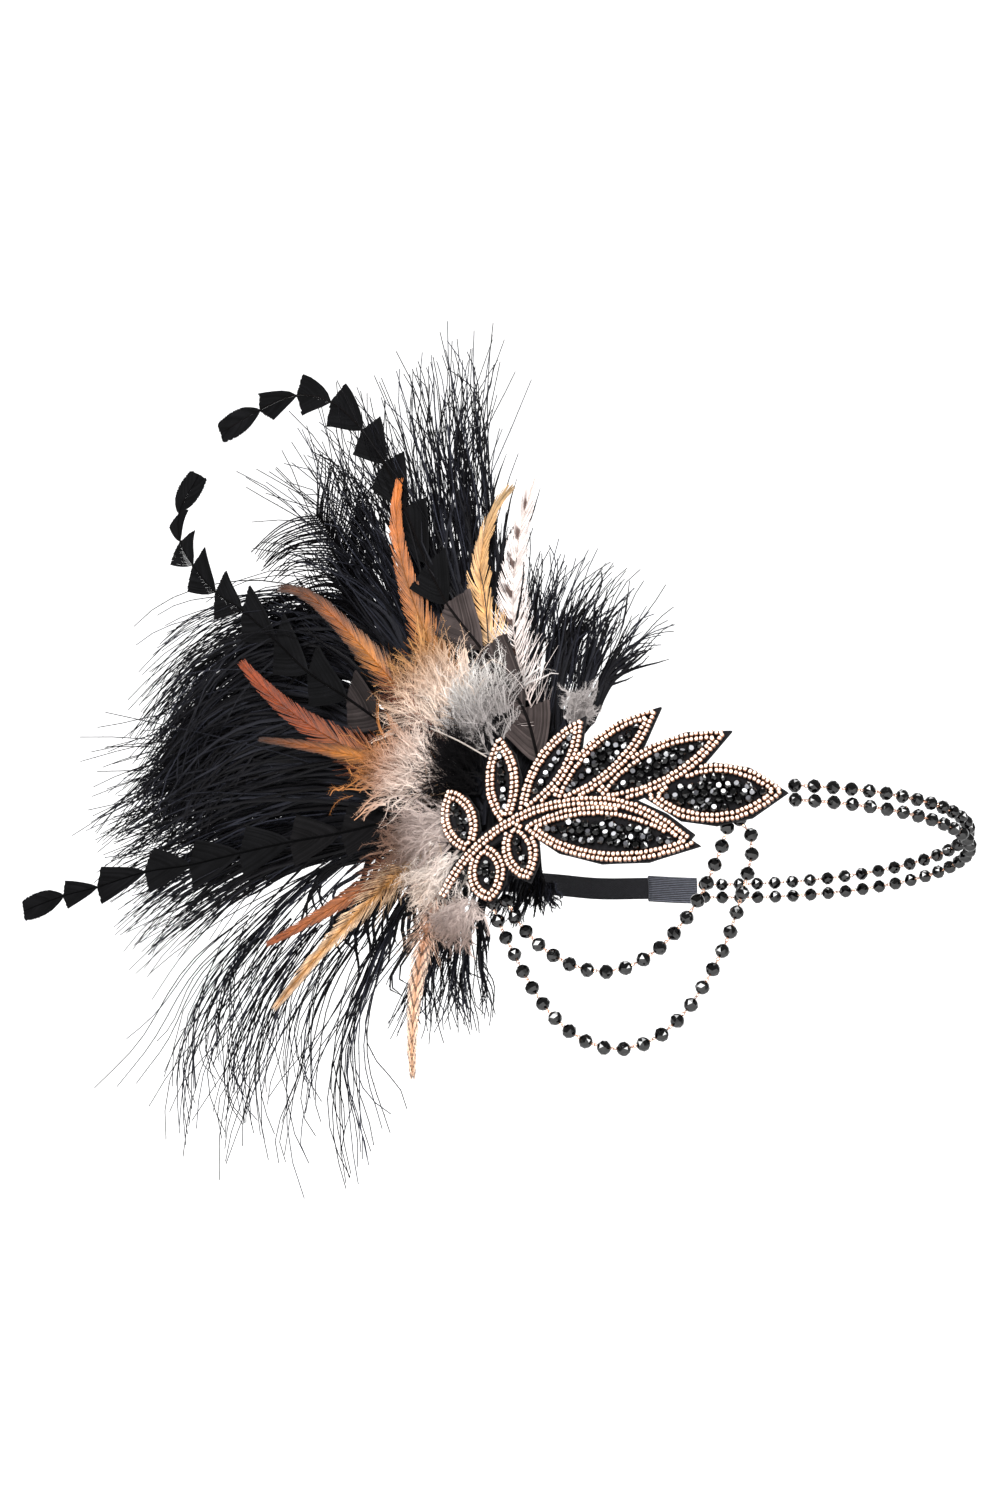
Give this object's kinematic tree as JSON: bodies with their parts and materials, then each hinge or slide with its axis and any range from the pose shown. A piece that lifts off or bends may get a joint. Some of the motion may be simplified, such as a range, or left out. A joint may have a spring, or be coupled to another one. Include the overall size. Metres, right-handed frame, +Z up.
{
  "type": "flapper feather headband",
  "caption": "Head loop of faceted bead strands and elastic, with a beaded leaf applique, hanging bead swags and a fan of dark and orange feathers.",
  "frame": {"origin": "middle of the head loop, level with the beaded strands", "axes": "+Z up as worn, -Y out through the beaded leaf's side, +X towards the closed end of the bead strands"},
  "size_m": [0.4055, 0.1531, 0.3606],
  "materials": {
    "leaf_felt": "black wool felt, matt",
    "rose_gold_beads": "rose gold lined seed and bugle beads, bright",
    "leaf_crystals": "black faceted beads sewn close together, glossy",
    "chain_beads": "black faceted round beads on rose gold wire links, glossy",
    "grosgrain_ribbon": "black ribbed ribbon",
    "elastic": "black woven elastic",
    "hackle_feather": "orange, gold and barred rooster hackle",
    "goose_feather": "black goose feather cut to steps, soft sheen",
    "ostrich_feather": "black ostrich barbs",
    "pale_down": "cream to grey down",
    "black_down": "black down"
  },
  "bodies": {
    "root": {"leaf_backing": "leaf_felt", "bead_border": "rose_gold_beads", "crystal_bed_1": "leaf_crystals", "crystal_bed_2": "leaf_crystals", "crystal_bed_3": "leaf_crystals", "crystal_bed_4": "leaf_crystals", "crystal_bed_5": "leaf_crystals", "crystal_bed_6": "leaf_crystals", "crystal_bed_7": "leaf_crystals", "crystal_bed_8": "leaf_crystals", "crystal_bed_9": "leaf_crystals", "strand_upper": "chain_beads", "strand_lower": "chain_beads", "swag_outer": "chain_beads", "swag_inner": "chain_beads", "ribbon_end": "grosgrain_ribbon", "elastic_band": "elastic", "feather_patch": "leaf_felt", "hackle_1": "hackle_feather", "hackle_2": "hackle_feather", "hackle_3": "hackle_feather", "hackle_4": "hackle_feather", "hackle_5": "hackle_feather", "hackle_6": "hackle_feather", "hackle_7": "hackle_feather", "hackle_8": "hackle_feather", "hackle_9": "hackle_feather", "arrow_feather_1": "goose_feather", "arrow_feather_2": "goose_feather", "arrow_feather_3": "goose_feather", "ostrich_plume_1": "ostrich_feather", "ostrich_plume_2": "ostrich_feather", "ostrich_plume_3": "ostrich_feather", "ostrich_plume_4": "ostrich_feather", "ostrich_plume_5": "ostrich_feather", "ostrich_plume_6": "ostrich_feather", "ostrich_plume_7": "ostrich_feather", "ostrich_plume_8": "ostrich_feather", "fluff_1": "pale_down", "fluff_2": "pale_down", "fluff_3": "pale_down", "fluff_4": "black_down", "fluff_5": "pale_down", "fluff_6": "pale_down", "fluff_7": "pale_down"}
  },
  "joints": []
}
